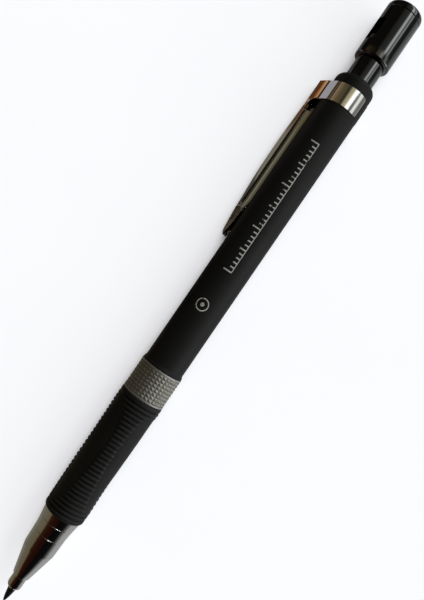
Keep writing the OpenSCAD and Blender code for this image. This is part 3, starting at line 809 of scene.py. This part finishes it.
def arm_half(d, from_top):
    """Half of the arm's outer line at d mm from its tip: crest, bevel, narrow strip and flange.
    Near the tip it is pressed to one flat facet, and at the top it takes the shape of the band's box."""
    crest_u = soft_lookup(d, [(0, 5.6), (0.3, 5.78), (0.8, 5.9), (1.5, 5.98), (2.6, 6.1), (4, 6.24),
                              (5.3, 6.37), (6.3, 6.44), (7.3, 6.55), (8.3, 6.66), (10.3, 6.84), (13.3, 7.02),
                              (16.4, 7.13), (20.4, 7.19), (24.4, 7.15), (28.4, 7.03), (31.2, 6.88),
                              (32.75, 6.74)], 0.2)
    crest_v = soft_lookup(d, [(0, 0.7), (0.3, 1.0), (0.8, 1.12), (1.5, 1.17), (2.6, 1.15), (5.3, 1.17),
                              (6.3, 1.15), (7.3, 1.0), (8.6, 0.82), (28, 0.8), (31.5, 0.95),
                              (32.75, 1.18)], 0.15)
    keel_u = soft_lookup(d, [(0, 5.5), (0.3, 5.45), (0.8, 5.35), (1.5, 5.15), (2.6, 4.95), (4, 4.8),
                             (5.6, 4.68), (7, 4.33), (8.5, 4.14)], 0.1)
    keel_v = soft_lookup(d, [(0, 0.74), (0.3, 1.04), (0.8, 1.18), (1.5, 1.25), (2.6, 1.31), (4, 1.37),
                             (5.6, 1.42), (8, 1.52)], 0.15)
    height = crest_u - keel_u

    def below_crest(level, least, share):
        """A fold at a level of its own, at least so far below the crest and at most a share of the height."""
        return crest_u - min(max(crest_u - level, least), share * height)

    strip_u, strip_v = below_crest(5.93, 0.35, 0.42), 1.45
    flange_u, flange_v = below_crest(5.3, 0.8, 0.62), 1.6
    ribs = ((0.04, 0), (0.08, 0), (0.24, 0.065), (0.28, 0), (0.6, 0), (0.66, 0.006), (1, 0.055))
    profile = [(strip_u, strip_v), (flange_u, flange_v)]
    profile += [(flange_u + (keel_u - flange_u) * share, flange_v - dip) for share, dip in ribs]
    out = [(crest_u, 0.0), (crest_u, crest_v)]
    for u, v in profile:
        face_v = crest_v + (keel_v - crest_v) * (crest_u - u) / (crest_u - keel_u)
        edge = 5.9 + (u - 4.7) * 1.08
        t = smooth(d, edge - 0.05, edge + 0.2)
        out.append((u, face_v + (max(v, face_v) - face_v) * t))

    if from_top < 2.2:
        fold = BOX_FOLD[0]
        n = len(out) - 2
        boxed = [(BOX_CREST[0], 0.0), BOX_CREST]
        boxed += [tuple(a + (b - a) * (k + 1) / n for a, b in zip(BOX_CREST, fold)) for k in range(n)]
        blend = smooth(from_top, 0.0, 2.0)
        out = [tuple(a + (b - a) * blend for a, b in zip(p, q)) for p, q in zip(boxed, out)]
    return out


def make_arm():
    """Clip arm: a folded channel that bows outwards, with a pressed tip, a notch at its root and a foot."""
    tip, top = span("clip_arm")
    whole = top - tip
    web, notch, radii = 1.75, (2.5, 2.64), (0.14, 0.08, 0.08, 0.03, 0.04, 0.04, 0.04, 0.05, 0.05)
    lengths = [0.04 * k for k in range(8)] + [0.35 + 0.25 * k for k in range(20)]
    lengths += [5.35 + 0.04 * k for k in range(75)] + [8.4 + 0.7 * k for k in range(30)]
    lengths = [d for d in lengths if d < whole - 3.3] + [whole - 3.25 + 0.05 * k for k in range(66)]
    sections = []
    for d in lengths:
        from_top = whole - d
        half = rounded(arm_half(d, from_top), radii, 4)
        full = length_of(half)
        root = 1 - math.sqrt(max(0, 1 - (1 - min(from_top / 1.2, 1)) ** 2))
        strip = web + (full - web) * root
        keep = strip + (full - strip) * smooth(from_top, *notch)
        half = along(half, keep / full)
        sections.append((tip + d, [(u, -v) for u, v in reversed(half[1:])] + half))
    verts, faces = sheet(sections, 0.3)
    arm = piece("clip_blade", verts, faces, "clip", "clip_chrome", ["clip_arm"], angle=24)
    bevel(arm, 0.04, 2, 50)

    foot_l, foot_u, foot_r, n = tip + 1.1, BARREL_R + 0.03, 0.55, 32
    dome = [math.radians(a) for a in range(90, -1, -10)]
    profile = [(foot_r * math.cos(a), foot_u + foot_r - foot_r * math.sin(a)) for a in dome]
    profile += [(foot_r * 0.9, foot_u + foot_r + 0.5), (0.0, foot_u + foot_r + 0.6)]
    round_it = [2 * math.pi * k / n for k in range(n)]
    verts = [clip_point(foot_l + q * math.cos(a), u, q * math.sin(a)) for q, u in profile for a in round_it]
    piece("clip_foot", verts, ring_faces(len(profile), n, False), "clip", "clip_chrome")


def make_stem():
    """Push stem: the neck that shows, its flange in the barrel and its spigot in the cap."""
    s0, s1 = span("push_stem")
    cap0 = span("push_cap")[0]
    stop = span("barrel")[1] - 4.85
    neck, flange, flange_len, spigot, snap = 3.0, 3.36, 3.9, 2.43, 2.58
    outline = [(s0, 1.5), (s0, 2.1), (stop - flange_len, 2.1), (stop - flange_len, flange)]
    outline += [(stop, flange), (stop, neck), (cap0 - 0.13, neck), (cap0 - 0.05, neck - 0.08)]
    outline += [(cap0 - 0.05, spigot), (cap0 + 1.4, spigot), (cap0 + 2, snap), (cap0 + 2.6, spigot)]
    outline += [(s1, 2.35), (s1, 1.1), (cap0 - 3.8, 1.1), (cap0 - 3.8, 1.5)]
    verts, faces = lathe(outline, 96)
    piece("push_neck", verts, faces, "pusher", "gloss_plastic", ["push_stem"])


def make_cap():
    """Hollow push cap with the chip window cut through its wall."""
    c0, c1 = span("push_cap")
    r, room, foot, socket, step = CAP_R, CAP_ROOM, 0.5, 2.61, c0 + 3.5
    outline = [(c0, socket)] + arc(c0 + foot, r - foot, foot, -90, 0, 8)
    outline += [(c0 + 3.2, r), (c1 - 0.1, r), (c1, r - 0.08), (c1, room), (step, room), (step, socket)]
    verts, faces = lathe(outline, 128)
    cap = piece("cap_shell", verts, faces, "cap", "gloss_plastic", ["push_cap"], angle=35)

    w0, w1, turn, half_w, corner = c0 + 3.35, c0 + 8.25, -69, 1.5, 0.35
    plan = [(w0, 0), (w0, half_w), (w1, half_w), (w1, -half_w), (w0, -half_w), (w0, 0)]
    plan = rounded(plan, (corner,) * 4, 5)
    plan.pop()                                      # it repeats the first point
    n = len(plan)
    verts = [turned(length, u, v, turn) for u in (room / 2, r + 1) for length, v in plan]
    faces = [tuple(range(n)), tuple(range(n, 2 * n))]
    faces += [(k, (k + 1) % n, n + (k + 1) % n, n + k) for k in range(n)]
    cutter = new_object("window_cutter", verts, faces)
    cut = cap.modifiers.new("window", "BOOLEAN")
    cut.operation, cut.solver, cut.object = "DIFFERENCE", "EXACT", cutter
    bpy.context.view_layer.update()
    done = bpy.data.meshes.new_from_object(cap.evaluated_get(bpy.context.evaluated_depsgraph_get()))
    cap.modifiers.clear()
    cap.data = done
    bpy.data.objects.remove(cutter)
    shade(done, 30)
    bevel(cap, 0.05, 2, 45)


def make_crown():
    """Plug that closes the cap, with a fine seam and a well-rounded end."""
    c0, c1 = span("cap_crown")
    seam = span("push_cap")[1]
    r, plug, edge = CAP_R, CAP_ROOM - 0.02, 0.85
    outline = [(c0, 0.0), (c0, plug), (seam + 0.03, plug), (seam + 0.03, r - 0.1), (seam + 0.12, r)]
    outline += arc(c1 - edge, r - edge, edge, 0, 90, 12) + [(c1, 1.4), (c1, 0.0)]
    verts, faces = lathe(outline, 128, closed=False)
    piece("crown", verts, faces, "cap", "gloss_plastic", ["cap_crown"], angle=35)


def make_spring():
    """Return spring: a coil of round wire."""
    s0, s1 = span("return_spring")
    wire, coil, turns, closed, travel = 0.17, 1.73, 14, 1.5, 3.0
    per_turn, sides = 24, 8
    rise = s1 - s0 - 2 * wire
    keys = [(0, 0), (closed, 2 * wire * closed), (turns - closed, rise - 2 * wire * closed), (turns, rise)]
    rings = turns * per_turn
    verts = []
    for i in range(rings + 1):
        turn = i / per_turn
        length = s0 + wire + lookup(turn, keys)
        for k in range(sides):
            a = 2 * math.pi * k / sides
            verts.append(at(length + wire * math.sin(a), coil + wire * math.cos(a), 360 * turn))
    faces = ring_faces(rings + 1, sides, False)
    faces += [tuple(range(sides)), tuple(rings * sides + k for k in range(sides))]
    obj = piece("spring_coil", verts, faces, "barrel", "spring_steel", ["return_spring"])
    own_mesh(obj)


def paint_cad():
    """The inner pieces keep their CAD shape and get their own materials."""
    for node, name in (("collet_body", "brass"), ("lead_tube", "brass"), ("spring_collar", "brass"),
                       ("spring_washer", "spring_steel"), ("grip_core", "brass"),
                       ("sharpener_body", "sharpener_plastic"), ("sharpener_blade", "blade_steel")):
        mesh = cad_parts[node].data
        mesh.materials.clear()
        mesh.materials.append(MATS[name])


# ---------------------------------------------------------------- studio

def make_floor():
    """Plain floor that the pencil lies on."""
    size, z = 1.6, cad_box[0].z
    corners = [(-size, -size, z), (size, -size, z), (size, size, z), (-size, size, z)]
    floor = new_object("floor", corners, [(0, 1, 2, 3)])
    floor.data.materials.append(MATS["floor_white"])


def make_world():
    """Soft studio in bands round the pencil, by direction: white panels above on its right, and a dim
    warm room on its left. The bands change where a direction leans along the pencil, and towards its
    front the room is nearly black. What the camera sees directly is plain white."""
    strength = 4.5
    world = bpy.data.worlds.new("studio")
    bpy.context.scene.world = world
    world.use_nodes = True
    tree = world.node_tree
    nodes, link = tree.nodes, tree.links.new
    coords = nodes.new("ShaderNodeTexCoord")
    axes = nodes.new("ShaderNodeSeparateXYZ")
    link(coords.outputs["Generated"], axes.inputs[0])
    turn = nodes.new("ShaderNodeMath")
    turn.operation = "ARCTAN2"
    link(axes.outputs["Y"], turn.inputs[0])
    link(axes.outputs["Z"], turn.inputs[1])
    share = nodes.new("ShaderNodeMapRange")
    share.inputs["From Min"].default_value, share.inputs["From Max"].default_value = -math.pi, math.pi
    link(turn.outputs[0], share.inputs["Value"])

    def bands(stops):
        """Colours by angle about the pencil, from the camera's direction towards the pencil's right."""
        ramp = nodes.new("ShaderNodeValToRGB")
        fill_ramp(ramp, [((angle + VIEW_TURN + 180) / 360, tuple(c / strength for c in colour))
                         for angle, colour in stops])
        link(share.outputs["Result"], ramp.inputs["Fac"])
        return ramp.outputs["Color"]

    def lean(start, end, a, b):
        """Passes from bands a to bands b where directions lean towards the pencil's front."""
        leaning = nodes.new("ShaderNodeMapRange")
        leaning.interpolation_type = "SMOOTHSTEP"
        leaning.inputs["From Min"].default_value, leaning.inputs["From Max"].default_value = start, end
        link(axes.outputs["X"], leaning.inputs["Value"])
        mix = nodes.new("ShaderNodeMix")
        mix.data_type = "RGBA"
        link(leaning.outputs["Result"], mix.inputs["Factor"])
        link(a, mix.inputs["A"])
        link(b, mix.inputs["B"])
        return mix.outputs["Result"]

    panel, lamp, soft, small = (2.8, 2.85, 2.8), (4.2, 4.4, 4.35), (0.9, 0.94, 0.92), (2.4, 2.5, 2.45)
    rear = bands([(-20, (0.04, 0.037, 0.03)), (-8, (0.2, 0.2, 0.17)), (14, (0.3, 0.3, 0.28)),
                  (24, (0.5, 0.52, 0.5)), (27.5, lamp), (39, lamp), (43, soft), (48, soft), (50.5, small),
                  (58, small), (62, (0.15, 0.15, 0.15)), (86, (0.06, 0.06, 0.06)), (96, (0.4, 0.4, 0.4))])
    middle = bands([(-83, (0.3, 0.2, 0.12)), (-81.5, (0.012, 0.009, 0.006)), (-77, (0.014, 0.01, 0.007)),
                    (-75, (0.42, 0.29, 0.18)), (-68, (0.3, 0.22, 0.13)), (-60, (0.27, 0.2, 0.12)),
                    (-50, (0.17, 0.125, 0.065)), (-42, (0.14, 0.11, 0.055)), (-30, (0.12, 0.1, 0.055)),
                    (-20, (0.05, 0.042, 0.024)), (-11, (0.08, 0.07, 0.045)), (-5, (0.5, 0.45, 0.28)),
                    (4, (0.6, 0.54, 0.36)), (12, (0.8, 0.75, 0.56)), (18, (2.0, 1.98, 1.86)),
                    (32, (2.0, 2.0, 1.96)), (38, (0.24, 0.25, 0.24)), (49, (0.2, 0.21, 0.2)),
                    (56, (1.3, 1.32, 1.28)), (67, (1.25, 1.27, 1.24)), (75, (0.25, 0.25, 0.24)),
                    (96, (0.3, 0.3, 0.29))])
    side = bands([(-86, (0.012, 0.009, 0.006)), (-71, (0.014, 0.01, 0.007)), (-67, (0.125, 0.095, 0.055)),
                  (-58, (0.11, 0.085, 0.05)), (-54, (0.28, 0.26, 0.18)), (-42, (0.2, 0.185, 0.125)),
                  (-34, (0.05, 0.045, 0.03)), (0, (0.05, 0.047, 0.04)), (30, (0.2, 0.2, 0.2)),
                  (55, (0.9, 0.92, 0.9)), (68, panel), (94, panel), (100, (0.5, 0.5, 0.5))])
    front = bands([(-86, (0.2, 0.175, 0.12)), (-62, (0.2, 0.165, 0.1)), (-52, (0.17, 0.13, 0.075)),
                   (-44, (0.04, 0.016, 0.008)), (-15, (0.028, 0.007, 0.003)), (5, (0.02, 0.006, 0.004)),
                   (20, (0.004, 0.004, 0.004)), (60, (0.006, 0.006, 0.006)), (75, (0.12, 0.12, 0.12)),
                   (96, (0.5, 0.5, 0.49))])
    room = lean(-0.43, -0.4, rear, middle)
    room = lean(-0.34, -0.28, room, side)
    room = lean(0.22, 0.42, room, front)
    back = nodes["Background"]
    link(room, back.inputs["Color"])
    back.inputs["Strength"].default_value = strength

    plain = nodes.new("ShaderNodeBackground")
    plain.inputs["Color"].default_value = (0.93, 0.93, 0.93, 1)
    path = nodes.new("ShaderNodeLightPath")
    both = nodes.new("ShaderNodeMixShader")
    link(path.outputs["Is Camera Ray"], both.inputs[0])
    link(back.outputs[0], both.inputs[1])
    link(plain.outputs[0], both.inputs[2])
    link(both.outputs[0], nodes["World Output"].inputs["Surface"])


def make_camera():
    """Camera nearly straight above, turned so that the pencil runs up to the right."""
    distance, tilt, view = 115 * MM, math.radians(34.4), math.radians(VIEW_TURN)
    aim_x, aim_side = -1.87 * MM, 0.49 * MM
    back = Vector((0, math.sin(view), math.cos(view)))
    to_button = Vector((-1, 0, 0))
    across = Vector((0, math.cos(view), -math.sin(view)))
    up = to_button * math.cos(tilt) - across * math.sin(tilt)
    right = across * math.cos(tilt) + to_button * math.sin(tilt)
    place = Vector((aim_x, 0, 0)) + across * aim_side + back * distance
    data = bpy.data.cameras.new("camera")
    data.lens, data.sensor_width = 34.4, 36
    data.clip_start, data.clip_end = 0.001, 20
    camera = bpy.data.objects.new("camera", data)
    bpy.context.scene.collection.objects.link(camera)
    rows = [(right[i], up[i], back[i], place[i]) for i in range(3)]
    camera.matrix_world = Matrix(rows + [(0, 0, 0, 1)])
    bpy.context.scene.camera = camera


make_lead()
for jaw_index in range(3):
    make_jaw(jaw_index)
make_nose()
make_grip()
make_ring()
make_barrel()
make_marks()
make_band()
make_arm()
make_stem()
make_cap()
make_crown()
make_spring()
paint_cad()
make_floor()
make_world()
make_camera()
bpy.context.scene.view_settings.view_transform = "Standard"
